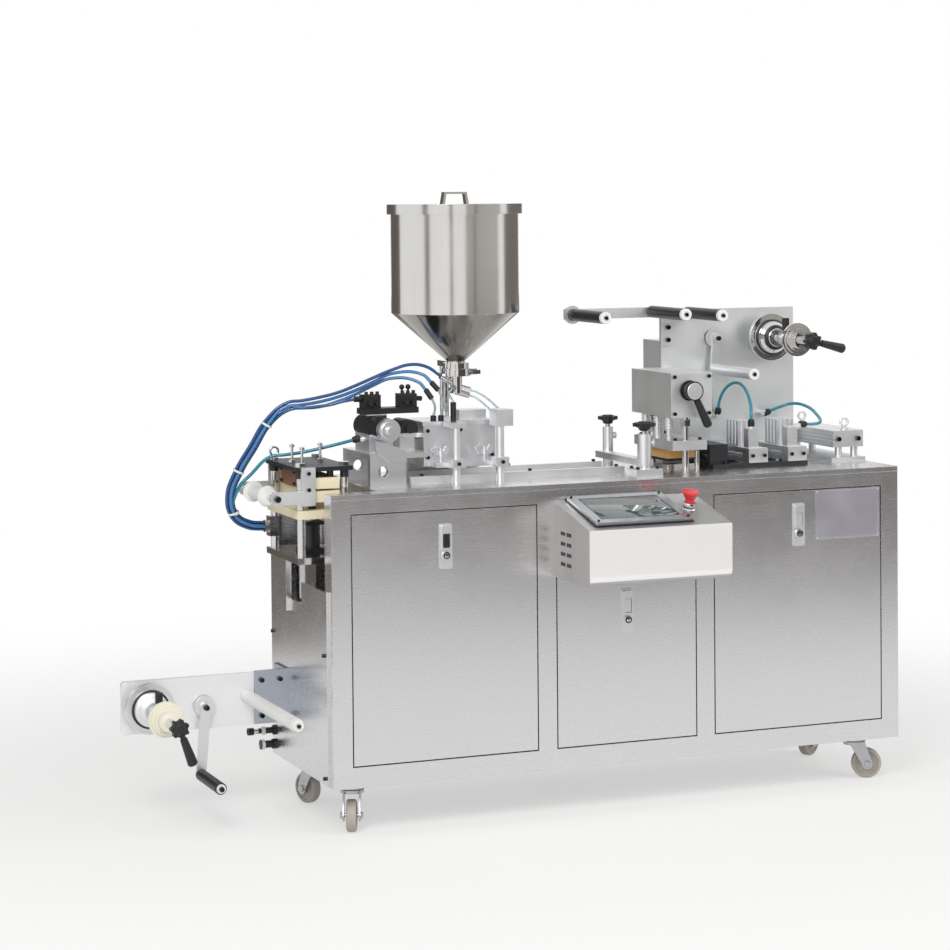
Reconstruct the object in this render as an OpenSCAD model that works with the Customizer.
// Flat plate blister packing machine on casters.
// X runs along the machine from the film end to the punching end, the doors face -Y, Z is up.

/* [Cabinet] */
// width of the frame bars around the doors
frame_bar = 47; // [40:1:60]
// width of the outer doors
wide_door = 467; // [400:1:520]
// width of the middle door
narrow_door = 371; // [366:1:420]
// depth of the cabinet, front to back
cabinet_depth = 450; // [446:1:480]
// height of the cabinet body
cabinet_height = 680; // [660:1:720]
// height of the rail under the doors
bottom_rail = 48; // [40:1:60]
// height of the rail over the doors
top_rail = 45; // [40:1:60]
// shadow gap around each door
door_gap = 3; // [2:0.5:5]
// thickness of a door panel
door_thickness = 12; // [8:1:16]
// thickness of the table plate
table_thickness = 12; // [8:1:16]

/* [Casters] */
// floor to cabinet bottom
caster_height = 114; // [112:1:125]
// wheel diameter
wheel_diameter = 75; // [65:1:76]
// wheel width
wheel_width = 24; // [20:1:26]
// distance from swivel axis to wheel axis
caster_trail = 30; // [26:1:34]
// swivel axis from the cabinet ends
caster_inset_x = 75; // [70:1:90]
// swivel axis from the cabinet front and back
caster_inset_y = 90; // [80:1:100]

/* [Control box] */
// width of the control box
control_width = 366; // [350:1:368]
// how far the control box stands out
control_depth = 208; // [195:1:230]
// height of the front face
control_front = 131; // [120:1:140]
// height of the rear edge
control_rear = 182; // [175:1:188]
// screen frame width
screen_width = 248; // [220:1:250]
// screen frame depth along the slope
screen_depth = 180; // [150:1:184]
// emergency stop head diameter
stop_diameter = 42; // [38:1:44]

/* [Film side] */
// centre line of the film from the front face
film_line = 222; // [218:1:226]
// reel flange diameter
flange_diameter = 120; // [110:1:120]
// reel spindle diameter
spindle_diameter = 20; // [18:1:24]
// distance from the cabinet end to the reel axis
reel_reach = 354; // [350:1:370]
// reel axis above the floor
reel_height = 279; // [270:1:285]
// length of the dancer arm
dancer_length = 160; // [140:1:165]
// diameter of the dancer rollers
dancer_roller = 28; // [24:1:32]
// diameter of the long guide roller
guide_diameter = 31; // [26:1:32]

/* [Filling] */
// tank outside radius
tank_radius = 155; // [140:1:158]
// height of the straight wall
tank_wall = 258; // [230:1:280]
// height of the cone
tank_cone = 118; // [110:1:130]
// sheet thickness of the tank
tank_sheet = 4; // [3:0.5:6]
// tank neck radius
neck_radius = 22; // [20:1:24]

/* [Foil side] */
// left edge of the foil plate from the cabinet end
foil_x0 = 1005; // [1000:1:1008]
// height of the foil plate over the table
foil_height = 390; // [385:1:410]
// diameter of the foil rollers
foil_roller = 30; // [26:1:34]
// length of the foil rollers
foil_roller_length = 196; // [180:1:200]

/* [Fits] */
// radial clearance of a turning fit
running_fit = 0.05; // [0.03:0.01:0.1]
// gap beside a turning face
side_gap = 2; // [1:0.5:3]
// gap under a sliding face
slide_gap = 0.3; // [0.2:0.05:0.5]

/* [Hidden] */
$fn = 64;
eps = 1;

steel = "#c9cbcc";
bright = "#e3e4e5";
dark = "#4a4b4e";
black = "#1c1c1e";
cream = "#e8dcc0";
white = "#f0f0ee";

cabinet_length = 4 * frame_bar + 2 * wide_door + narrow_door;
base_z = caster_height;
table_z = base_z + cabinet_height;
door_height = cabinet_height - bottom_rail - top_rail;
door_x = [frame_bar, 2 * frame_bar + wide_door, 3 * frame_bar + wide_door + narrow_door];
door_w = [wide_door, narrow_door, wide_door];

bay_length = 128;
bay_front = 50;
bay_back = cabinet_depth - 14;
bay_floor = table_z - 300;
end_sheet = 6;

control_z = door_height + base_z + bottom_rail - 175;
control_x = door_x[1] - 4;
control_slope = atan2(control_rear - control_front, control_depth);

plate_y = film_line + 108;
plate_t = 10;
film_plate_z0 = reel_height - 64;
film_plate_z1 = reel_height + 62;
film_plate_x0 = -reel_reach - flange_diameter / 2 - 1;
film_flange_x = -end_sheet;

dancer_x = -reel_reach + 140;
dancer_z = reel_height - 10;
dancer_lean = 5;

guide_x = -reel_reach + 247;
guide_z = reel_height + 6;
guide_front = -60;
pin = 12;

post = 20;
form_x = [-33, 74];
form_y = [film_line - 102, film_line + 103];
form_base = table_z - 169;
form_top = table_z + 47;
film_z = table_z + 5;

tank_x = 397;
tank_top = table_z + 662;
cone_top = tank_top - tank_wall;
neck_top = cone_top - tank_cone;
neck_end = neck_top - 28;
ferrule = neck_radius + 8;

foil_x1 = foil_x0 + 380;
foil_y = film_line + 118;
foil_t = 10;
foil_top = table_z + foil_height;
foil_axis = [foil_x0 + 291, table_z + 315];
foil_pivot = [foil_x0 + 149, table_z + 315];
foil_rollers = [[foil_x0 - 248, table_z + 384], [foil_x0 - 30, table_z + 387], [foil_x0 + 71, table_z + 382]];

seal_x = foil_x0 - 83;
seal_w = 112;
seal_z0 = table_z + 134;
seal_z1 = table_z + 244;
seal_y0 = film_line - 109;
lever_x = seal_x + 48;
lever_z = table_z + 201;
column_x = seal_x + 44;
column_y = [film_line - 97, film_line + 93];

mid_x = (film_plate_x0 + cabinet_length) / 2;
mid_y = (cabinet_depth - control_depth) / 2;

// moves machine coordinates to the middle of the floor area
module home() {
    translate([-mid_x, -mid_y, 0]) children();
}

// cylinder along Y from y0 to y1
module rod_y(x, z, y0, y1, d) {
    translate([x, y1, z]) rotate([90, 0, 0]) cylinder(h = y1 - y0, d = d);
}

// cone along -Y from y1 (diameter d1) to y0 (diameter d0)
module cone_y(x, z, y0, y1, d0, d1) {
    translate([x, y1, z]) rotate([90, 0, 0]) cylinder(h = y1 - y0, d1 = d1, d2 = d0);
}

// cylinder between two points
module link(a, b, d) {
    v = b - a;
    translate(a) rotate([0, acos(v[2] / norm(v)), atan2(v[1], v[0])]) cylinder(h = norm(v), d = d);
}

// rectangle with round corners
module round_rect(w, h, r) {
    translate([r, 0]) square([w - 2 * r, h]);
    translate([0, r]) square([w, h - 2 * r]);
    for (x = [r, w - r], y = [r, h - r]) translate([x, y]) circle(r);
}

// outline of a hand knob with n lobes
module star(d, n) {
    difference() {
        circle(d = d);
        for (i = [0:n - 1]) rotate(i * 360 / n) translate([d * 0.6, 0]) circle(d = d * 0.4);
    }
}

// lifting eye on a flat top
module eyebolt(x, y, z) {
    translate([x, y, z]) {
        cylinder(h = 5, d = 20);
        cylinder(h = 12, d = 9);
        translate([0, 0, 20]) rotate([90, 0, 0]) rotate_extrude() translate([10, 0]) circle(d = 6);
    }
}

module cabinet() {
    color(steel) home() difference() {
        translate([0, 0, base_z]) cube([cabinet_length, cabinet_depth, cabinet_height - table_thickness]);
        for (i = [0:2], y = [-eps, cabinet_depth - door_thickness])
            translate([door_x[i], y, base_z + bottom_rail])
                cube([door_w[i], door_thickness + eps, door_height]);
        translate([-eps, bay_front, bay_floor])
            cube([bay_length + eps, bay_back - bay_front, cabinet_height]);
    }
}

module table_plate() {
    color(bright) home() difference() {
        translate([0, 0, table_z - table_thickness]) cube([cabinet_length, cabinet_depth, table_thickness]);
        translate([-eps, bay_front, table_z - table_thickness - eps])
            cube([bay_length + eps, bay_back - bay_front, table_thickness + 2 * eps]);
    }
}

// lift-off panels, the same at the front and the back
module doors() {
    color(steel) home() for (i = [0:2], y = [0, cabinet_depth - door_thickness])
        translate([door_x[i] + door_gap, y, base_z + bottom_rail + door_gap])
            cube([door_w[i] - 2 * door_gap, door_thickness, door_height - 2 * door_gap]);
}

latch_w = 32;
latch_h = 106;
latch_t = 3;
latch_drop = [33, 215, 33];

// plate with a raised handle frame, a push pad and a key barrel
module door_latches() {
    color(dark) home() for (i = [0:2])
        translate([door_x[i] + door_w[i] / 2 - latch_w / 2, 0,
                   base_z + bottom_rail + door_height - latch_drop[i] - latch_h]) rotate([90, 0, 0]) {
            linear_extrude(latch_t) round_rect(latch_w, latch_h, 5);
            difference() {
                translate([4, 44, 0]) linear_extrude(latch_t + 5) round_rect(latch_w - 8, latch_h - 48, 4);
                translate([7, 49, latch_t]) cube([latch_w - 14, 34, 6]);
            }
            translate([8, 50, latch_t]) cube([latch_w - 16, 32, 3]);
            translate([latch_w / 2, 32, 0]) cylinder(h = latch_t + 5, d = 20);
        }
}

panel_step = [film_line - 12, film_line + 80];

// stepped sheet that closes the lower part of the open left end, with a stiffening flange at the step
module end_panel() {
    color(steel) home() {
        translate([-end_sheet, 0, 0]) rotate([90, 0, 90]) linear_extrude(end_sheet) polygon([
            [24, base_z + 4], [cabinet_depth - 4, base_z + 4], [cabinet_depth - 4, form_base - 7],
            [panel_step[1], form_base - 7], [panel_step[1], table_z - 277],
            [panel_step[0], table_z - 277], [panel_step[0], table_z - 226], [24, table_z - 226]
        ]);
        translate([-end_sheet - 8, panel_step[1], form_base - 137]) cube([8, 5, 130]);
    }
}

caster_x = [caster_inset_x, cabinet_length - caster_inset_x];
caster_y = [caster_inset_y, cabinet_depth - caster_inset_y];
caster_plate = 76;
caster_plate_t = 6;
race_d = 56;
race_z0 = caster_height - 18;
king_d = 14;
crown_z1 = race_z0 - side_gap;
crown_t = 8;
fork_leg = 4;
wheel_play = 5;
axle_d = 10;
wheel_r = wheel_diameter / 2;

module caster_plates() {
    color(bright) home() for (x = caster_x, y = caster_y) difference() {
        union() {
            translate([x - caster_plate / 2, y - caster_plate / 2, caster_height - caster_plate_t])
                cube([caster_plate, caster_plate, caster_plate_t]);
            translate([x, y, race_z0]) cylinder(h = caster_height - race_z0, d = race_d);
        }
        translate([x, y, race_z0 - eps])
            cylinder(h = 14 + eps, d = king_d + 2 * running_fit);
    }
}

// swivel fork with its king pin and wheel axle, wheel trailing at the given angle
module fork(x, y, angle) {
    leg_y = wheel_width / 2 + wheel_play;
    color(bright) home() translate([x, y, 0]) rotate([0, 0, angle]) {
        translate([0, 0, crown_z1 - crown_t]) cylinder(h = crown_t, d = race_d);
        translate([0, 0, crown_z1]) cylinder(h = side_gap + 12, d = king_d);
        for (s = [-1, 1])
            translate([0, s * (leg_y + fork_leg / 2), 0]) rotate([90, 0, 0])
                translate([0, 0, -fork_leg / 2]) linear_extrude(fork_leg) {
                    polygon([[-16, crown_z1 - 1], [24, crown_z1 - 1], [caster_trail + 14, wheel_r + 3],
                             [caster_trail - 14, wheel_r]]);
                    translate([caster_trail, wheel_r]) circle(14);
                }
        translate([caster_trail, leg_y + fork_leg + 3, wheel_r]) rotate([90, 0, 0])
            cylinder(h = 2 * (leg_y + fork_leg + 3), d = axle_d);
    }
}

tread_round = 6;
wheel_rim = 8;
wheel_hub = 26;

// wheel with a round tread, a sunk web and a hub as wide as the tread
module wheel(x, y, angle) {
    half = wheel_width / 2;
    color(white) home() translate([x, y, 0]) rotate([0, 0, angle])
        translate([caster_trail, 0, wheel_r]) rotate([90, 0, 0]) rotate_extrude() difference() {
            union() {
                translate([0, -half]) square([wheel_r - tread_round, wheel_width]);
                translate([0, -half + tread_round]) square([wheel_r, wheel_width - 2 * tread_round]);
                for (s = [-1, 1])
                    translate([wheel_r - tread_round, s * (half - tread_round)]) circle(tread_round);
            }
            translate([-eps, -half - eps]) square([axle_d / 2 + running_fit + eps, wheel_width + 2 * eps]);
            for (s = [-1, 1])
                translate([wheel_hub / 2, s * half - 4])
                    square([wheel_r - wheel_rim - wheel_hub / 2, 8]);
        }
}

turn_fl = 248;
turn_fr = -22;
turn_rl = 112;
turn_rr = 30;

module fork_fl() { fork(caster_x[0], caster_y[0], turn_fl); }
module fork_fr() { fork(caster_x[1], caster_y[0], turn_fr); }
module fork_rl() { fork(caster_x[0], caster_y[1], turn_rl); }
module fork_rr() { fork(caster_x[1], caster_y[1], turn_rr); }
module wheel_fl() { wheel(caster_x[0], caster_y[0], turn_fl); }
module wheel_fr() { wheel(caster_x[1], caster_y[0], turn_fr); }
module wheel_rl() { wheel(caster_x[0], caster_y[1], turn_rl); }
module wheel_rr() { wheel(caster_x[1], caster_y[1], turn_rr); }

lip = 25;
stop_x = control_x + 302;
stop_run = 111;
stop_stem = 22;
stop_gap = 10;
stop_neck = 20;
stop_depth = 24;

// places children on the sloped top, run measured down the slope from the rear edge
module on_slope(x, run) {
    translate([x, 0, control_z + control_rear]) rotate([control_slope, 0, 0])
        translate([0, -run, 0]) children();
}

module control_box() {
    color(steel) home() difference() {
        translate([control_x, 0, control_z]) rotate([90, 0, 90]) linear_extrude(control_width) union() {
            polygon([[0, 0], [0, control_rear], [-control_depth, control_front],
                     [-control_depth, lip], [-control_depth + lip, 0]]);
            translate([-control_depth + lip, lip]) circle(r = lip);
        }
        on_slope(stop_x, stop_run) translate([0, 0, -stop_depth])
            cylinder(h = stop_depth + eps, d = stop_stem + 2 * running_fit);
        for (i = [0:3])
            translate([control_x - eps, -100, control_z + 32 + 24 * i]) cube([4 + eps, 62, 9]);
    }
}

screen_t = 10;
screen_edge = 22;

module screen_panel() {
    color(dark) home() on_slope(control_x + 28, 6 + screen_depth) difference() {
        linear_extrude(screen_t) round_rect(screen_width, screen_depth, 6);
        translate([screen_edge, screen_edge - 2, screen_t - 2])
            cube([screen_width - 2 * screen_edge, screen_depth - 2 * screen_edge + 4, 2 + eps]);
    }
}

// flared mushroom head on its stem
module emergency_stop() {
    color("#c8201c") home() on_slope(stop_x, stop_run) {
        translate([0, 0, -stop_depth + stop_gap]) cylinder(h = stop_depth + stop_neck, d = stop_stem);
        translate([0, 0, stop_gap + stop_neck]) rotate_extrude() polygon([
            [0, 0], [stop_stem / 2 + 2, 0], [stop_diameter / 2 - 2, 10], [stop_diameter / 2, 13],
            [stop_diameter / 2, 16], [stop_diameter / 2 - 3, 18], [0, 20]
        ]);
    }
}

plate_corner = 10;

module film_bracket() {
    plate_w = film_flange_x - 6 - film_plate_x0;
    plate_h = film_plate_z1 - film_plate_z0;
    color(bright) home() difference() {
        union() {
            translate([film_plate_x0, plate_y + plate_t, film_plate_z0]) rotate([90, 0, 0])
                linear_extrude(plate_t) round_rect(plate_w, plate_h, plate_corner);
            translate([-88, plate_y - 8, film_plate_z0 + 6]) cube([88 + film_flange_x, 8, plate_h - 2]);
            translate([film_flange_x - 6, plate_y - 8, film_plate_z0 + 6]) cube([6, 90, plate_h - 2]);
            rod_y(guide_x, guide_z, guide_front - 4, plate_y, pin);
            rod_y(guide_x, guide_z, guide_front - 12, guide_front - 4, 22);
        }
        rod_y(-reel_reach, reel_height, plate_y - eps, plate_y + plate_t + eps,
              spindle_diameter + 2 * running_fit);
        rod_y(dancer_x, dancer_z, plate_y - eps, plate_y + plate_t + eps, pin + 2 * running_fit);
    }
}

flange_y = film_line + 71;
cone_front = film_line - 72;
film_knob_y = film_line - 174;
foil_knob_y = film_line - 137;

cone_d = 84;
collar_d = 36;

// spindle with a rimmed rear flange, ribbed rear cone, clamping collar and sliding ribbed front cone
module reel(x, z, back, knob_y) {
    s = spindle_diameter / 2;
    f = flange_diameter / 2;
    u = back - flange_y - 8;
    c = back - cone_front;
    translate([x, back, z]) rotate([90, 0, 0]) rotate_extrude() polygon([
        [0, 0], [s, 0], [s, u], [f, u], [f, u + 10], [f - 5, u + 10], [f - 5, u + 8],
        [46, u + 8], [46, u + 14], [40, u + 18], [40, u + 23], [32, u + 28], [32, u + 33],
        [22, u + 40], [22, u + 50], [s, u + 50],
        [s, c - 40], [20, c - 40], [30, c - 28], [30, c - 24], [38, c - 14], [cone_d / 2, c - 10],
        [cone_d / 2, c - 2], [36, c - 2], [36, c + 3], [29, c + 3], [29, c + 8],
        [23, c + 8], [23, c + 26], [s, c + 26],
        [s, back - knob_y], [0, back - knob_y]
    ]);
    rod_y(x, z, film_line - 20, film_line + 6, collar_d);
}

module film_reel() {
    color(bright) home() {
        reel(-reel_reach, reel_height, plate_y + plate_t + side_gap, film_knob_y);
        rod_y(-reel_reach, reel_height, plate_y + plate_t + side_gap, plate_y + plate_t + 10, 34);
    }
}

grip_length = 72;

// black hand pieces on a reel: collar screw, star knob and grip
module reel_grips(x, z, knob_y, grip_angle) {
    difference() {
        translate([x, film_line - 7, z]) {
            cylinder(h = 36, d = 10);
            translate([0, 0, 28]) cylinder(h = 24, d = 18);
        }
        rod_y(x, z, film_line - 20, film_line + 6, collar_d + 2 * slide_gap);
    }
    translate([x, knob_y, z]) rotate([90, 0, 0]) {
        linear_extrude(18) star(44, 7);
        translate([0, 0, 18]) cylinder(h = 8, d1 = 32, d2 = 20);
    }
    translate([x, knob_y - 12, z]) rotate([0, grip_angle, 0]) translate([0, 0, 14]) {
        cylinder(h = 14, d = 12);
        translate([0, 0, 10]) cylinder(h = grip_length - 10, d1 = 17, d2 = 24);
        translate([0, 0, grip_length]) cylinder(h = 4, d1 = 24, d2 = 18);
    }
}

module film_reel_grips() {
    color(black) home() reel_grips(-reel_reach, reel_height, film_knob_y, 160);
}

arm_w = 24;
arm_t = 8;
dancer_gap = 14;
film_roller_front = film_line - 79;
foil_roller_front = film_line - 112;

// arm, pivot pin and roller of a dancer hanging from (x, z)
module dancer(x, z, plate, depth, length, lean, roller_front) {
    arm_y1 = plate - dancer_gap;
    rod_y(x, z, arm_y1, plate + depth, pin);
    translate([x, 0, z]) rotate([0, lean, 0]) {
        rod_y(0, 0, arm_y1, arm_y1 + 8, arm_w + 26);
        translate([0, arm_y1, 0]) rotate([90, 0, 0]) linear_extrude(arm_t) {
            circle(d = arm_w);
            translate([-arm_w / 2, -length]) square([arm_w, length]);
            translate([0, -length]) circle(d = arm_w);
        }
        rod_y(0, 0, arm_y1 - arm_t - 4, arm_y1 - arm_t, 14);
        rod_y(0, -length, roller_front, arm_y1 - arm_t, dancer_roller);
        rod_y(0, -length, roller_front - 4, roller_front, dancer_roller - 6);
    }
}

module film_dancer() {
    color(dark) home() {
        dancer(dancer_x, dancer_z, plate_y, plate_t + side_gap, dancer_length, dancer_lean,
               film_roller_front);
        rod_y(dancer_x, dancer_z, plate_y + plate_t + side_gap, plate_y + plate_t + 9, 26);
    }
}

module film_guide_roller() {
    color(white) home() difference() {
        rod_y(guide_x, guide_z, guide_front, plate_y - side_gap, guide_diameter);
        rod_y(guide_x, guide_z, guide_front - eps, plate_y, pin + 2 * running_fit);
    }
}

filter_y = cabinet_depth - 22;
filter_z = film_plate_z0 - 38;
filter_length = 70;
inlet_d = 18;
inlet_bore = 8;
inlet_depth = 20;

// stack of round collars along -X from the end panel, each [length, diameter]
module fitting_stack(y, z, collars, i = 0, x = 0) {
    if (i < len(collars)) {
        translate([-end_sheet - x - collars[i][0], y, z]) rotate([0, 90, 0])
            cylinder(h = collars[i][0], d = collars[i][1]);
        fitting_stack(y, z, collars, i + 1, x + collars[i][0]);
    }
}

// inline filter with its push-in socket, and the exhaust silencer under it
module air_filter() {
    color(dark) home() {
        difference() {
            fitting_stack(filter_y, filter_z,
                          [[6, 24], [20, 15], [8, 20], [filter_length - 50, 13], [16, inlet_d]]);
            translate([-end_sheet - filter_length - eps, filter_y, filter_z]) rotate([0, 90, 0])
                cylinder(h = inlet_depth + eps, d = inlet_bore);
        }
        fitting_stack(filter_y, filter_z - 34, [[8, 24], [20, 18], [10, 24]]);
    }
}

form_plate_x0 = form_x[0] - 15;
form_plate_x1 = form_x[1] + 15;
form_plate_y0 = form_y[0] - 20;
form_plate_y1 = form_y[1] + 20;
form_base_t = 15;
form_top_t = 10;
form_w = form_plate_x1 - form_plate_x0;
form_d = form_plate_y1 - form_plate_y0;
head_t = 26;
stud_d = 6;
studs = [[form_x[0] + 12, film_line], [form_x[0] + 10, film_line - 82], [form_x[1] - 25, film_line]];
port_x = form_x[0] - 17;
port_z = table_z - 102;
bundle_d = 24;

// base and top plate on four posts, with nuts, adjusting studs, a lifting eye and the air tube connector
module forming_frame() {
    color(steel) home() {
        translate([form_plate_x0, form_plate_y0, form_base]) cube([form_w, form_d, form_base_t]);
        translate([form_plate_x0, form_plate_y0, form_top]) cube([form_w, form_d, form_top_t]);
        for (x = form_x, y = form_y) {
            translate([x, y, form_base + form_base_t])
                cylinder(h = form_top - form_base - form_base_t, d = post);
            if (x != form_x[0] || y != form_y[1])
                translate([x, y, form_top + form_top_t]) cylinder(h = 9, d = post + 6, $fn = 6);
        }
        for (s = studs) {
            translate([s[0], s[1], form_top + form_top_t]) cylinder(h = 46, d = stud_d);
            translate([s[0], s[1], form_top + form_top_t]) cylinder(h = 8, d = 16, $fn = 6);
            translate([s[0], s[1], form_top + form_top_t + 38]) cylinder(h = 6, d = 12);
        }
        for (x = [block_x0 + 16, block_x1 - 16], y = [block_y0 + 22, block_y1 - 22])
            translate([x, y, film_z + head_t]) cylinder(h = form_top - film_z - head_t, d = 16);
        eyebolt(form_x[0], form_y[1], form_top + form_top_t);
        translate([10, film_line - 72, bay_floor]) cube([70, 144, form_base - bay_floor]);
        translate([port_x, form_y[1] - 14, port_z - 24]) cube([30, 28, 48]);
        translate([port_x, form_y[1], port_z]) rotate([0, -90, 0]) cylinder(h = 10, d = bundle_d + 6);
    }
}

block_x0 = -15;
block_x1 = 58;
block_y0 = form_y[0] - 12;
block_y1 = form_y[1] + 12;

module forming_head() {
    color(cream) home() translate([block_x0, block_y0, film_z])
        cube([block_x1 - block_x0, block_y1 - block_y0, head_t]);
}

module heater_cover() {
    color("#7a4a2c") home() translate([block_x0 - 12, film_line - 46, film_z])
        cube([12, 114, form_top - film_z]);
}

mould_gap = 5;
mould_t = 26;
spacer_h = 18;
carrier_t = 20;
mould_top = film_z - mould_gap;
mould_z0 = mould_top - mould_t;
carrier_z0 = mould_z0 - spacer_h - carrier_t;
pocket = [16, 34, 5];
ram = 24;
ram_x = (block_x0 + block_x1) / 2;
ram_top = carrier_z0 - 18;
ram_cap = 8;
ram_body = 46;

// mould with its row of pockets on spacers over the carrier, which slides on the posts
module forming_mould() {
    color(cream) home() {
        difference() {
            translate([block_x0, block_y0, mould_z0])
                cube([block_x1 - block_x0, block_y1 - block_y0, mould_t]);
            for (i = [-1:1], j = [0:1])
                translate([ram_x - 25 + 34 * j, film_line + 44 * i - pocket[1] / 2, mould_top - pocket[2]])
                    cube([pocket[0], pocket[1], pocket[2] + eps]);
        }
        for (x = [block_x0 + 14, block_x1 - 14], y = [block_y0 + 30, block_y1 - 30])
            translate([x, y, carrier_z0 + carrier_t]) cylinder(h = spacer_h, d = 18);
        difference() {
            translate([form_plate_x0 + 2, form_plate_y0 + 4, carrier_z0])
                cube([form_w - 4, form_d - 8, carrier_t]);
            for (x = form_x, y = form_y)
                translate([x, y, carrier_z0 - eps])
                    cylinder(h = carrier_t + 2 * eps, d = post + 2 * running_fit);
        }
        translate([ram_x, film_line, ram_top - 20]) cylinder(h = carrier_z0 - ram_top + 20, d = ram);
    }
}

module forming_cylinder() {
    color(dark) home() translate([ram_x, film_line, 0]) difference() {
        union() {
            translate([0, 0, form_base + form_base_t])
                cylinder(h = ram_top - ram_cap - form_base - form_base_t, d = ram_body);
            translate([-ram_body / 2 - 4, -ram_body / 2 - 4, ram_top - ram_cap])
                cube([ram_body + 8, ram_body + 8, ram_cap]);
            translate([-ram_body / 2 - 4, -ram_body / 2 - 4, form_base + form_base_t])
                cube([ram_body + 8, ram_body + 8, ram_cap]);
        }
        translate([0, 0, ram_top - 40]) cylinder(h = 40 + eps, d = ram + 2 * running_fit);
    }
}

bracket_t = 8;
guide_axle_x = -100;
guide_axle_z = table_z - 12;
guide_axle = 12;

// a pair of angle plates on the forming top plate with the axle of the flanged roller
module guide_bracket() {
    color(white) home() {
        for (y = [form_plate_y0, form_plate_y1 + bracket_t])
            translate([0, y, 0]) rotate([90, 0, 0]) linear_extrude(bracket_t) {
                translate([-40, table_z - 32]) square([34, form_top + form_top_t - table_z + 32]);
                translate([guide_axle_x, table_z - 28]) square([-40 - guide_axle_x, 32]);
                translate([guide_axle_x, guide_axle_z]) circle(16);
            }
        rod_y(guide_axle_x, guide_axle_z, form_plate_y0, form_plate_y1, guide_axle);
    }
}

film_width = 115;
film_edges = [film_line - film_width / 2, film_line + film_width / 2];

module guide_roller() {
    color(white) home() difference() {
        union() {
            rod_y(guide_axle_x, guide_axle_z, film_edges[0] - 10, film_edges[1] + 10, 32);
            cone_y(guide_axle_x, guide_axle_z, film_edges[0] - 10, film_edges[0], 40, 50);
            cone_y(guide_axle_x, guide_axle_z, film_edges[1], film_edges[1] + 10, 50, 40);
        }
        rod_y(guide_axle_x, guide_axle_z, 0, cabinet_depth, guide_axle + 2 * running_fit);
    }
}

module tank() {
    color(bright) home() translate([tank_x, film_line, 0]) rotate_extrude() polygon([
        [neck_radius - tank_sheet, neck_end], [ferrule, neck_end], [ferrule, neck_end + 6],
        [neck_radius, neck_end + 6], [neck_radius, neck_top],
        [tank_radius, cone_top], [tank_radius, tank_top],
        [tank_radius - tank_sheet, tank_top], [tank_radius - tank_sheet, cone_top + 1],
        [neck_radius - tank_sheet, neck_top + 1]
    ]);
}

lid_t = 4;
lid_top = tank_top + lid_t;
lid_skirt = 20;
lid_gap = 1.5;

module tank_lid() {
    color(bright) home() translate([tank_x, film_line, 0]) {
        rotate_extrude() polygon([
            [0, tank_top], [tank_radius + lid_gap, tank_top], [tank_radius + lid_gap, tank_top - lid_skirt],
            [tank_radius + lid_gap + 8, tank_top - lid_skirt],
            [tank_radius + lid_gap + 8, lid_top], [0, lid_top]
        ]);
        translate([0, 10, 0]) rotate([90, 0, 0]) linear_extrude(20) polygon([
            [-34, lid_top], [-28, lid_top], [-24, lid_top + 24], [24, lid_top + 24],
            [28, lid_top], [34, lid_top], [29, lid_top + 29], [-29, lid_top + 29]
        ]);
    }
}

outlet_end = neck_end - 50;
outlet_r = 15;
spout_d = 16;
feed_d = 6;
tube_d = 8;
spout_right = [[tank_x + 33, film_line - 10, neck_end - 44], [tank_x + 33, film_line, neck_end - 56]];
spout_middle = [tank_x - 19, film_line - 16, neck_end - 42];
spout_air = [tank_x - 40, film_line, neck_end - 7];

// hinged clamp with its wing nut round the ferrule, and the outlet pipe with the tube spouts
module tank_outlet() {
    root = [tank_x, film_line, outlet_end + 20];
    color(bright) home() difference() {
        union() {
            translate([tank_x, film_line, neck_end - 8]) cylinder(h = 18, r = ferrule + 5);
            translate([tank_x + ferrule, film_line - 8, neck_end - 6]) cube([22, 16, 14]);
            translate([tank_x + ferrule + 14, film_line - 22, neck_end + 1]) rotate([-90, 0, 0])
                cylinder(h = 44, d = 7);
            translate([tank_x + ferrule + 4, film_line - 26, neck_end - 4]) cube([20, 8, 10]);
            translate([tank_x, film_line, outlet_end]) cylinder(h = neck_end - outlet_end, r = outlet_r);
            for (p = spout_right) link([root[0], root[1], p[2] + 10], p, spout_d);
            link(root, spout_middle, spout_d);
            link(root, spout_air, spout_d);
        }
        translate([tank_x, film_line, neck_end]) cylinder(h = 12, r = ferrule);
    }
}

stand_y = film_line + 115;
stand_d = 22;
stand_foot = 40;

module tank_stand() {
    color(bright) home() {
        translate([tank_x + 14, stand_y, table_z]) cylinder(h = 8, d = stand_foot);
        translate([tank_x + 14, stand_y, table_z]) cylinder(h = neck_top - 4 - table_z, d = stand_d);
        difference() {
            union() {
                translate([tank_x, film_line, neck_top - 18]) cylinder(h = 14, r = neck_radius + 9);
                translate([tank_x - 4, film_line, neck_top - 18])
                    cube([18 + stand_d / 2, stand_y - film_line, 14]);
            }
            translate([tank_x, film_line, neck_top - 19]) cylinder(h = 16, r = neck_radius);
        }
    }
}

filler_x0 = 300;
filler_x1 = 486;
filler_y0 = film_line - 32;
filler_y1 = film_line + 92;
filler_z0 = table_z + 36;
filler_z1 = table_z + 134;
filler_lid = 10;
filler_top = filler_z1 + filler_lid;

// pump housing over the film with its cover plate and valve block, on a rear leg
module filler_block() {
    color(bright) home() {
        translate([filler_x0, filler_y0, filler_z0])
            cube([filler_x1 - filler_x0, filler_y1 - filler_y0, filler_z1 - filler_z0]);
        translate([filler_x0 - 4, filler_y0 - 4, filler_z1])
            cube([filler_x1 - filler_x0 + 8, filler_y1 - filler_y0 + 8, filler_lid]);
        translate([filler_x0 + 105, filler_y0 + 32, filler_top]) cube([70, 50, 22]);
        translate([filler_x0, filler_y1 - 14, table_z])
            cube([filler_x1 - filler_x0, 14, filler_z0 - table_z]);
    }
}

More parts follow.
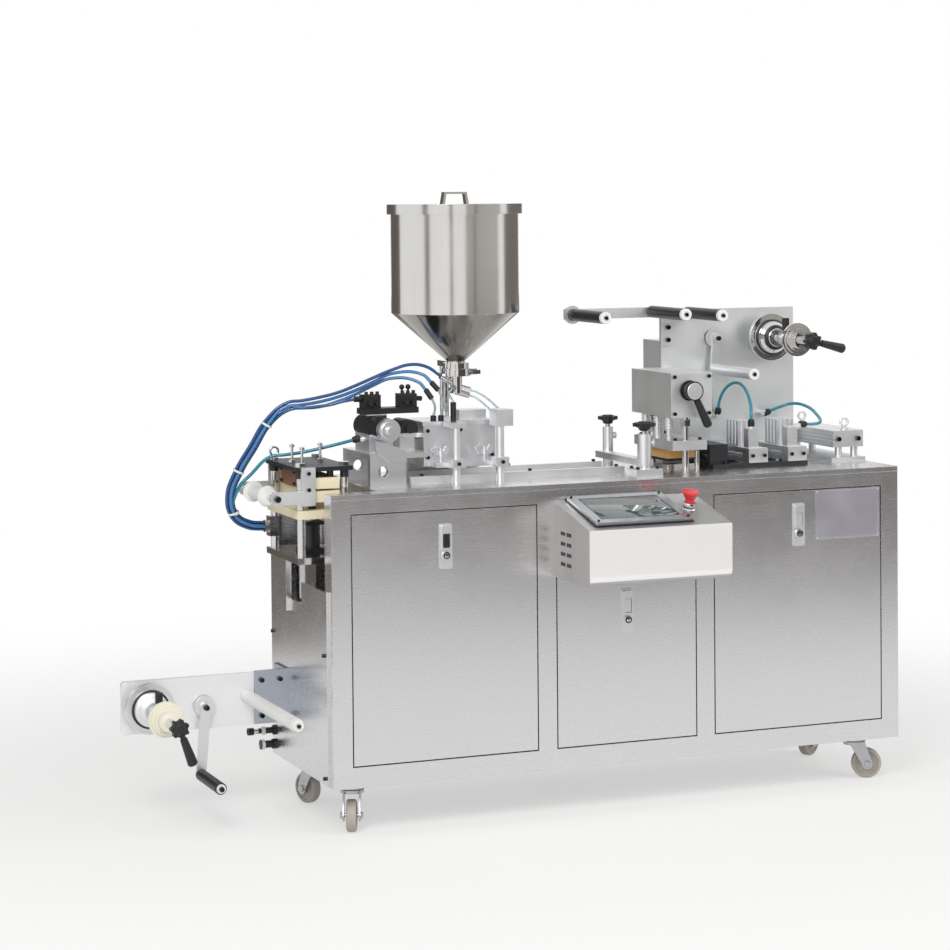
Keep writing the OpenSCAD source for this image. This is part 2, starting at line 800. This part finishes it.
column_d = 20;
filler_column_y = film_line - 90;
filler_column_x = [361, 474];
column_top = filler_z1 - 2;
shelf_t = 12;
clamp = 34;
nozzle_h = 40;
nozzle_back = filler_y0 - 22;
wing_x = [335, 448];

// wing nut on a stud standing at (x, y, z)
module wing_nut(x, y, z) {
    translate([x, y, z]) {
        cylinder(h = 34, d = 8);
        translate([0, 0, 14]) cylinder(h = 12, d = 16);
        for (s = [-1, 1]) translate([s * 14, 0, 26]) rotate([0, s * 30, 0]) cube([14, 5, 20], center = true);
    }
}

// front columns with their clamp shelf, the nozzle blocks on top and two wing nuts
module filler_columns() {
    color(bright) home() {
        translate([filler_column_x[0] - 45, filler_column_y + clamp / 2, filler_z0])
            cube([filler_column_x[1] - filler_column_x[0] + 53,
                  filler_y0 - filler_column_y - clamp / 2, shelf_t]);
        for (x = filler_column_x) {
            translate([x, filler_column_y, table_z]) cylinder(h = column_top - table_z, d = column_d);
            translate([x - clamp / 2, filler_column_y - clamp / 2, filler_z0]) cube([clamp, clamp, 22]);
        }
        translate([filler_column_x[0] - 14, filler_column_y - 12, column_top])
            cube([36, nozzle_back - filler_column_y + 24, shelf_t]);
        translate([filler_column_x[1] - 12, filler_column_y - 12, column_top])
            cube([42, nozzle_back - filler_column_y + 12, nozzle_h]);
        for (x = wing_x) wing_nut(x, filler_column_y + 36, filler_z0 + shelf_t);
    }
}

drive_x = 185;
drive_z = table_z + 134;
drive_d = 56;
drive_back = film_line + 70;
drive_front = film_line - 112;
saddle_z = table_z + 66;
saddle_t = 12;
saddle_x1 = filler_x0 - 14;
bearing_x = 240;

// filling cylinder on its saddle, with the bearing and shaft into the pump housing
module filler_drive() {
    color(dark) home() {
        rod_y(drive_x, drive_z, drive_front + 30, drive_back, drive_d);
        rod_y(drive_x, drive_z, drive_front, drive_front + 22, drive_d - 2);
        rod_y(drive_x, drive_z, drive_front + 22, drive_front + 30, drive_d - 12);
        rod_y(drive_x, drive_z, drive_front - 6, drive_front, drive_d - 14);
        rod_y(drive_x, drive_z, drive_front - 16, drive_front - 6, 20);
        translate([drive_x - 25, film_line - 22, drive_z]) cube([50, 45, 32]);
        translate([drive_x - 30, film_line - 50, saddle_z + saddle_t])
            cube([60, 100, drive_z - drive_d / 4 - saddle_z - saddle_t]);
        translate([drive_x - 45, film_line - 98, saddle_z]) cube([saddle_x1 - drive_x + 45, 196, saddle_t]);
        for (y = [film_line - 98, film_line + 80]) difference() {
            translate([drive_x - 45, y, table_z]) cube([90, 18, saddle_z - table_z]);
            translate([drive_x - 12, y - eps, table_z + 36]) rotate([-90, 0, 0])
                cylinder(h = 18 + 2 * eps, d = 26);
        }
        translate([0, film_line - 98, 0]) rotate([90, 0, 0]) linear_extrude(5) polygon([
            [drive_x - 35, saddle_z + 45], [drive_x + 37, saddle_z + 22], [drive_x + 47, saddle_z - 8],
            [drive_x + 1, saddle_z - 8], [drive_x - 31, saddle_z + 18]
        ]);
        translate([bearing_x, film_line - 28, saddle_z + saddle_t])
            cube([38, 56, drive_z - saddle_z - saddle_t]);
        rod_y(bearing_x + 19, drive_z - 4, film_line - 46, film_line + 34, 44);
        rod_y(bearing_x + 19, drive_z - 4, film_line - 54, film_line - 46, 22);
        translate([bearing_x + 19, film_line, drive_z - 24]) rotate([0, 90, 0])
            cylinder(h = filler_x0 - bearing_x - 19, d = 18);
        link([drive_x, teal_end[1], teal_end[2]], teal_end, 14);
    }
}

valve_x = [drive_x - 30, drive_x + 62];
valve_z = drive_z + 46;
valve_h = 32;
valve_w = 42;

// two valve blocks on a bar with their fittings and silencers, and the tube connectors of the filler
module filler_valves() {
    color(black) home() {
        translate([drive_x - 35, film_line - 22, drive_z + 32]) cube([142, 45, 14]);
        for (x = valve_x) {
            translate([x, film_line - 18, valve_z]) cube([valve_w, 37, valve_h]);
            for (i = [0:2])
                translate([x + 7 + 14 * i, film_line - 12, valve_z + valve_h]) cylinder(h = 8, d = 9);
            for (i = [0:1]) translate([x + 12 + 18 * i, film_line - 18, valve_z + 12]) rotate([90, 0, 0])
                cylinder(h = 14, d = 11);
        }
        for (i = [0:1]) translate([valve_x[1] + 13 + 16 * i, film_line + 8, valve_z + valve_h]) {
            cylinder(h = 10, d = 5);
            translate([0, 0, 15]) sphere(d = 13);
        }
        link([valve_x[0], film_line + 2, valve_tube[4][2]], valve_tube[4], 14);
        link([valve_x[1] + valve_w, film_line, valve_z + 20],
             [valve_x[1] + valve_w + 18, film_line, valve_z + 18], 12);
        link(pump_air[0][8], feed_left[0][0], 13);
        link(pump_air[1][8], feed_left[1][0], 13);
        for (t = feed_left) link([t[3][0], t[3][1], filler_top], t[3], 14);
        link([feed_middle[3][0], feed_middle[3][1], column_top + shelf_t], feed_middle[3], 14);
        for (t = feed_right) link([t[4][0], nozzle_back, t[4][2]], t[4], 13);
    }
}

track_h = 18;
track_x = 250;
track_length = 560;

module film_track() {
    color(bright) home() for (y = [film_line - 76, film_line + 60])
        translate([track_x, y, table_z]) cube([track_length, 12, track_h]);
}

foil_box = 96;
foil_arm_h = 26;
roller_pin = 10;
foil_front = foil_y - foil_roller_length;
elbows = [[foil_x0 + 152, table_z + 116], [foil_x0 + 280, table_z + 119]];
elbow_out = 18;

// plate with its rear box, roller arm, corner block, roller axles and the two tube elbows
module foil_stand() {
    color(bright) home() difference() {
        union() {
            translate([foil_x0, foil_y, table_z]) cube([foil_x1 - foil_x0, foil_t, foil_height]);
            translate([foil_x0, foil_y + foil_t, table_z])
                cube([foil_x1 - foil_x0 - 6, foil_box, foil_height - 79]);
            translate([foil_rollers[0][0] - 18, foil_y, foil_top - 18])
                cube([foil_x0 - foil_rollers[0][0] + 18, foil_t, foil_arm_h]);
            translate([foil_x0 - 4, foil_y - 10, foil_top - 90]) cube([36, 10, 60]);
            rod_y(foil_rollers[0][0], foil_rollers[0][1], foil_y - 8, foil_y, 46);
            for (r = foil_rollers) {
                rod_y(r[0], r[1], foil_front - 10, foil_y, roller_pin);
                rod_y(r[0], r[1], foil_front - 10, foil_front - side_gap, foil_roller - 3);
            }
            for (e = elbows) rod_y(e[0], e[1], foil_y - elbow_out - 6, foil_y, 14);
            link([elbows[0][0], foil_y - elbow_out, elbows[0][1]], grip_tube[0], 13);
            link([elbows[1][0], foil_y - elbow_out, elbows[1][1]], hold_tube[0], 13);
        }
        rod_y(foil_axis[0], foil_axis[1], foil_y - eps, foil_y + 50, spindle_diameter + 2 * running_fit);
        rod_y(foil_pivot[0], foil_pivot[1], foil_y - eps, foil_y + 30, pin + 2 * running_fit);
    }
}

module foil_reel() {
    color(bright) home() reel(foil_axis[0], foil_axis[1], foil_y + 48, foil_knob_y);
}

module foil_reel_grips() {
    color(black) home() reel_grips(foil_axis[0], foil_axis[1], foil_knob_y, 104);
}

module foil_dancer() {
    color(dark) home() dancer(foil_pivot[0], foil_pivot[1], foil_y, 28, 80, 5, foil_roller_front);
}

flange_clear = 10;

module foil_idler(i) {
    r = foil_rollers[i];
    color(dark) home() difference() {
        rod_y(r[0], r[1], foil_front, foil_y - flange_clear, foil_roller);
        rod_y(r[0], r[1], foil_front - eps, foil_y, roller_pin + 2 * running_fit);
    }
}

module foil_roller_1() { foil_idler(0); }
module foil_roller_2() { foil_idler(1); }
module foil_roller_3() { foil_idler(2); }

press_z = table_z + 53;
press_t = 24;
press_x0 = seal_x + 3;
press_w = 94;
press_rod = 14;
press_rods = [[seal_x + 12, film_line - 70], [seal_x + 14, film_line], [seal_x + 16, film_line + 70]];
sleeve_d = 22;
sleeve_h = 30;
lever_pin = 14;
insulation_t = 24;
heater_t = 6;
anvil_t = 14;
plate_x0 = column_x - 31;
plate_w = 76;
plate_y0 = film_line - 56;
plate_d = 112;

// box of the sealing drive with ribbed sleeves for the press rods under it
module seal_housing() {
    color(steel) home() difference() {
        union() {
            translate([seal_x, seal_y0, seal_z0]) cube([seal_w, foil_y - seal_y0, seal_z1 - seal_z0]);
            for (p = press_rods) for (i = [0:3])
                translate([p[0], p[1], seal_z0 - sleeve_h + 7.5 * i]) {
                    cylinder(h = 7.5, d = sleeve_d - 5);
                    cylinder(h = 4, d = sleeve_d);
                }
        }
        rod_y(lever_x, lever_z, seal_y0 - eps, seal_y0 + 24, lever_pin + 2 * running_fit);
        for (p = press_rods)
            translate([p[0], p[1], seal_z0 - sleeve_h - eps])
                cylinder(h = sleeve_h + 62 + eps, d = press_rod + 2 * running_fit);
    }
}

// cam disc with its pin and hand lever
module seal_lever() {
    hub_y = seal_y0 - side_gap;
    color(black) home() {
        rod_y(lever_x, lever_z, hub_y - 20, seal_y0 + 22, lever_pin);
        rod_y(lever_x, lever_z, hub_y - 5, hub_y, 50);
        rod_y(lever_x, lever_z, hub_y - 26, hub_y - 5, 42);
        rod_y(lever_x, lever_z, hub_y - 32, hub_y - 26, 48);
        translate([lever_x, hub_y - 20, lever_z]) rotate([0, 154, 0]) {
            cylinder(h = 40, d = 14);
            translate([0, 0, 26]) cylinder(h = 68, d1 = 17, d2 = 22);
            translate([0, 0, 94]) cylinder(h = 5, d1 = 22, d2 = 16);
        }
    }
}

// press plate with its rods and heated plate; the insulation sits between them
module seal_press() {
    color(steel) home() difference() {
        union() {
            translate([press_x0, film_line - 110, press_z]) cube([press_w, 222, press_t]);
            translate([plate_x0, plate_y0, press_z - insulation_t - heater_t])
                cube([plate_w, plate_d, heater_t]);
            for (x = [plate_x0 + 8, plate_x0 + plate_w - 8], y = [plate_y0 + 8, plate_y0 + plate_d - 8])
                translate([x, y, press_z - insulation_t]) cylinder(h = insulation_t, d = 8);
            for (p = press_rods)
                translate([p[0], p[1], press_z + press_t])
                    cylinder(h = seal_z0 + 30 - press_z - press_t, d = press_rod);
        }
        for (y = column_y)
            translate([column_x, y, press_z - eps])
                cylinder(h = press_t + 2 * eps, d = column_rod + 2 * running_fit);
    }
}

module seal_insulation() {
    color("#d9a860") home() difference() {
        translate([plate_x0, plate_y0, press_z - insulation_t]) cube([plate_w, plate_d, insulation_t]);
        for (x = [plate_x0 + 8, plate_x0 + plate_w - 8], y = [plate_y0 + 8, plate_y0 + plate_d - 8])
            translate([x, y, press_z - insulation_t - eps])
                cylinder(h = insulation_t + 2 * eps, d = 8 + 2 * slide_gap);
    }
}

column_rod = 18;

// two guide columns with their nuts, the anvil and a stop post
module seal_columns() {
    color(bright) home() {
        for (y = column_y) {
            translate([column_x, y, table_z]) cylinder(h = seal_z0 - table_z, d = column_rod);
            translate([column_x, y, seal_z0 - 22]) cylinder(h = 16, d = column_rod + 10, $fn = 6);
        }
        translate([plate_x0, plate_y0, table_z]) cube([plate_w, plate_d, anvil_t]);
        translate([column_x + 38, film_line - 84, table_z]) cylinder(h = press_z - table_z - 4, d = 13);
    }
}

knob_x = [823, 852];
knob_post_y = [film_line - 162, film_line + 113];
knob_stem = 12;
knob_post_z = [table_z + 104, table_z + 99];

// cross bar on two posts that takes the adjusting knobs
module adjust_bridge() {
    color(bright) home() difference() {
        union() {
            translate([knob_x[0] - 34, knob_post_y[0] - 26, table_z]) cube([72, 52, 20]);
            for (i = [0:1]) {
                translate([knob_x[i], knob_post_y[i], table_z])
                    cylinder(h = knob_post_z[i] - table_z, d = 34 - 8 * i);
                translate([knob_x[i], knob_post_y[i], knob_post_z[i] - 22]) rotate([0, 90, 0])
                    cylinder(h = 27 - 4 * i, d = 8);
                translate([knob_x[i] + 20 - 4 * i, knob_post_y[i] - 3, knob_post_z[i] - 30]) cube([6, 6, 16]);
            }
            translate([knob_x[0] - 6, knob_post_y[0], table_z + 24])
                cube([30, knob_post_y[1] - knob_post_y[0], 16]);
        }
        for (i = [0:1])
            translate([knob_x[i], knob_post_y[i], knob_post_z[i] - 24])
                cylinder(h = 24 + eps, d = knob_stem + 2 * running_fit);
    }
}

// lobed hand knob on a threaded stem
module star_knob(i, d) {
    color(black) home() translate([knob_x[i], knob_post_y[i], knob_post_z[i] - 22]) {
        cylinder(h = 36, d = knob_stem);
        translate([0, 0, 30]) cylinder(h = 10, d1 = 22, d2 = d * 0.62);
        translate([0, 0, 40]) linear_extrude(9) star(d, 8);
        translate([0, 0, 49]) cylinder(h = 3, d1 = d * 0.6, d2 = d * 0.5);
    }
}

module knob_front() { star_knob(0, 56); }
module knob_rear() { star_knob(1, 50); }

rail_y = [film_line - 92, film_line + 74];
rail_w = 18;
rail_h = 12;
rail_x0 = foil_x0 + 40;
rail_length = 266;
guide_block_w = 50;
web_slot = [film_line - 60, 120, 10];

// two rails and the web guide block at their left end
module grip_rails() {
    color(dark) home() {
        for (y = rail_y) translate([rail_x0, y, table_z]) cube([rail_length, rail_w, rail_h]);
        difference() {
            translate([rail_x0, rail_y[0] + rail_w, table_z])
                cube([guide_block_w, rail_y[1] - rail_y[0] - rail_w, 60]);
            translate([rail_x0 - eps, web_slot[0], table_z + 24])
                cube([guide_block_w + 2 * eps, web_slot[1], web_slot[2]]);
        }
    }
}

grip_w = 53;
grip_y0 = film_line - 96;
grip_d = 204;
grip_h = 36;
traction_x = foil_x0 + 138;
holding_x = foil_x0 + 248;

// jaw block on the rails with a slot for the web, a grooved cylinder and the air port at the front
module gripper(x, lift) {
    z0 = table_z + rail_h + lift;
    difference() {
        union() {
            translate([x, grip_y0, z0]) cube([grip_w, grip_d, grip_h]);
            translate([x + 3, grip_y0 + 66, z0 + grip_h]) cube([grip_w - 6, 62, 64]);
            translate([x + 6, grip_y0 + 14, z0 + grip_h]) cube([28, 26, 48]);
        }
        translate([x - eps, web_slot[0], z0 + 12]) cube([grip_w + 2 * eps, web_slot[1], web_slot[2]]);
        for (i = [0:2])
            translate([x + 13 + 13.5 * i, grip_y0 + 66, z0 + grip_h + 4]) cylinder(h = 64, d = 7);
        for (i = [0:2])
            translate([x + 3, grip_y0 + 80 + 17 * i, z0 + grip_h + 4]) cylinder(h = 64, d = 7);
    }
}

module traction_grip() {
    color(steel) home() {
        gripper(traction_x, slide_gap);
        translate([traction_x + 20, grip_y0 + 26, table_z + rail_h + slide_gap + grip_h + 48])
            cylinder(h = grip_tube[7][2] - slide_gap - table_z - rail_h - slide_gap - grip_h - 48, d = 14);
    }
}

module holding_grip() {
    color(steel) home() {
        gripper(holding_x, 0);
        link([holding_x + 20, grip_y0 + 26, table_z + rail_h + grip_h + 42], hold_tube[7], 14);
    }
}

punch_x = foil_x0 + 390;
punch_w = 87;
punch_y0 = film_line - 72;
punch_d = 250;
punch_z0 = table_z + 38;
punch_h = 42;

// upper die with its ribbed side on four posts over the lower die
module punch_die() {
    color(steel) home() {
        difference() {
            translate([punch_x, punch_y0, punch_z0]) cube([punch_w, punch_d, punch_h]);
            for (i = [0:3])
                translate([punch_x - eps, punch_y0 - eps, punch_z0 + 6 + 9 * i])
                    cube([4 + eps, punch_d + 2 * eps, 4]);
        }
        translate([punch_x - 6, punch_y0 - 4, table_z]) cube([punch_w + 10, punch_d + 8, 12]);
        for (x = [punch_x + 24, punch_x + punch_w - 18], y = [punch_y0 + 16, punch_y0 + punch_d - 16])
            translate([x, y, table_z]) cylinder(h = punch_z0 - table_z, d = 18);
        for (y = [punch_y0 + 14, punch_y0 + punch_d - 14]) eyebolt(punch_x + 40, y, punch_z0 + punch_h);
    }
}

// route points carried up with the table: each z is a height over it
function above_table(route) = [for (p = route) p + [0, 0, table_z]];

// routes of the air tubes, in machine coordinates
trunk = above_table([
    [-60, 325, -102], [-100, 325, -96], [-135, 322, -72], [-146, 318, -24],
    [-128, 310, 31], [-95, 296, 91], [-60, 282, 151], [-25, 270, 184]
]);
tank_air = concat(above_table([
    [-18, 270, 196], [20, 262, 201], [62, 256, 208], [105, 250, 218], [150, 246, 234],
    [195, 242, 252], [240, 238, 269], [285, 232, 280], [322, 226, 274]
]), [spout_air]);
pump_air = [
    above_table([
        [-14, 276, 186], [20, 270, 190], [62, 264, 196], [105, 258, 206], [150, 254, 221],
        [195, 250, 240], [240, 244, 259], [310, 222, 256], [326, 205, 238]
    ]),
    above_table([
        [-20, 262, 188], [20, 254, 184], [62, 250, 186], [105, 254, 196], [150, 260, 210],
        [195, 258, 230], [240, 250, 247], [300, 224, 238], [313, 208, 220]
    ])
];
valve_tube = above_table([[-14, 262, 180], [30, 252, 184], [80, 240, 190], [112, 230, 198], [137, 225, 202]]);
teal_end = [137, 222, table_z + 106];
teal = concat(above_table([
    [-127, 314, -8], [-96, 308, 26], [-55, 292, 66], [-20, 275, 72], [10, 258, 77], [76, 232, 92]
]), [teal_end]);
grip_tube = above_table([
    [1157, 322, 130], [1159, 314, 161], [1166, 290, 191], [1174, 250, 204],
    [1176, 210, 191], [1172, 175, 161], [1163, 152, 132], [1163, 152, 118]
]);
hold_tube = above_table([
    [1300, 322, 120], [1330, 318, 131], [1360, 300, 141], [1380, 262, 136],
    [1384, 215, 118], [1372, 175, 103], [1345, 156, 100], [1312, 152, 101]
]);

// routes of the clear tubes between tank, connectors and filler
feed_right = [
    concat([spout_right[0]],
           above_table([[446, 203, 208], [470, 188, 190], [488, 180, 172], [496, 172, 164]])),
    concat([spout_right[1]],
           above_table([[448, 208, 192], [468, 194, 172], [482, 182, 156], [488, 172, 150]]))
];
feed_left = [
    above_table([[342, 197, 218], [350, 193, 196], [350, 193, 174], [347, 195, 158]]),
    above_table([[326, 200, 198], [332, 196, 180], [331, 196, 168], [328, 197, 158]])
];
feed_middle = concat([spout_middle], above_table([[366, 192, 212], [366, 180, 202], [370, 172, 190]]));

tube_sides = 8;

function unit(v) = v / norm(v);
function tangent(p, i) = unit(p[min(i + 1, len(p) - 1)] - p[max(i - 1, 0)]);
function ring(p, i, r, ref) = let (t = tangent(p, i), s = unit(cross(t, ref)), u = cross(t, s))
    [for (k = [0:tube_sides - 1]) p[i] + r * (cos(k * 360 / tube_sides) * s + sin(k * 360 / tube_sides) * u)];

// tube swept along its points; ref is a direction that the tube never follows
module tube(p, d, ref) {
    n = len(p);
    polyhedron(
        points = [for (i = [0:n - 1]) each ring(p, i, d / 2, ref)],
        faces = concat(
            [[for (k = [0:tube_sides - 1]) k]],
            [for (i = [0:n - 2], k = [0:tube_sides - 1]) let (a = i * tube_sides, b = (k + 1) % tube_sides)
                [a + k, a + tube_sides + k, a + tube_sides + b, a + b]],
            [[for (k = [0:tube_sides - 1]) n * tube_sides - 1 - k]]
        )
    );
}

module air_tubes() {
    color("#2f6fb4") home() {
        tube(trunk, bundle_d, [0, 1, 0]);
        tube(tank_air, tube_d, [0, 1, 0]);
        for (p = pump_air) tube(p, tube_d, [0, 1, 0]);
        tube(valve_tube, tube_d, [0, 1, 0]);
        tube(teal, tube_d, [0, 1, 0]);
        tube(grip_tube, tube_d, [1, 0, 0]);
        tube(hold_tube, tube_d, [0, 0, 1]);
    }
}

module feed_tubes() {
    color("#dfe8ea") home() {
        for (p = feed_right) tube(p, feed_d, [0, 0, 1]);
        for (p = feed_left) tube(p, feed_d, [0, 1, 0]);
        tube(feed_middle, feed_d, [1, 0, 0]);
    }
}

cabinet();
table_plate();
doors();
door_latches();
end_panel();
caster_plates();
fork_fl();
fork_fr();
fork_rl();
fork_rr();
wheel_fl();
wheel_fr();
wheel_rl();
wheel_rr();
control_box();
screen_panel();
emergency_stop();
film_bracket();
film_reel();
film_reel_grips();
film_dancer();
film_guide_roller();
air_filter();
forming_frame();
forming_head();
heater_cover();
forming_mould();
forming_cylinder();
guide_bracket();
guide_roller();
tank();
tank_lid();
tank_outlet();
tank_stand();
filler_block();
filler_columns();
filler_drive();
filler_valves();
film_track();
foil_stand();
foil_reel();
foil_reel_grips();
foil_dancer();
foil_roller_1();
foil_roller_2();
foil_roller_3();
seal_housing();
seal_lever();
seal_press();
seal_columns();
adjust_bridge();
knob_front();
knob_rear();
grip_rails();
traction_grip();
holding_grip();
punch_die();
seal_insulation();
air_tubes();
feed_tubes();
